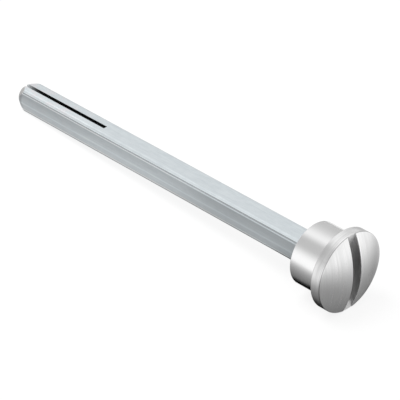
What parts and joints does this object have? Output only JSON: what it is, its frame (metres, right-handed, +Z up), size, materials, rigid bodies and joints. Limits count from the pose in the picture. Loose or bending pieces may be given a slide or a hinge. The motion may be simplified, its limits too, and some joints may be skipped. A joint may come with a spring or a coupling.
{
  "type": "door handle spindle",
  "caption": "Square door handle spindle with a split, turned end and a round collared head with a domed, slotted face.",
  "frame": {"origin": "centre of the underside of the bounding box, on the surface that the spindle lies on", "axes": "+X runs along the spindle from its split end to its head, in plan; +Z is up; the centre line rises 3.72 degrees towards the head, because the spindle rests on its rim and its split end"},
  "size_m": [0.1476, 0.0262, 0.0263],
  "materials": {
    "zinc_plated_steel": "bright zinc plating over cold drawn steel, pale blue-grey with faint lines along the bar",
    "satin_steel": "satin stainless steel, turned on the collar and finely brushed across the domed face"
  },
  "bodies": {
    "root": {"spindle_bar": "zinc_plated_steel", "slotted_head": "satin_steel"}
  },
  "joints": []
}
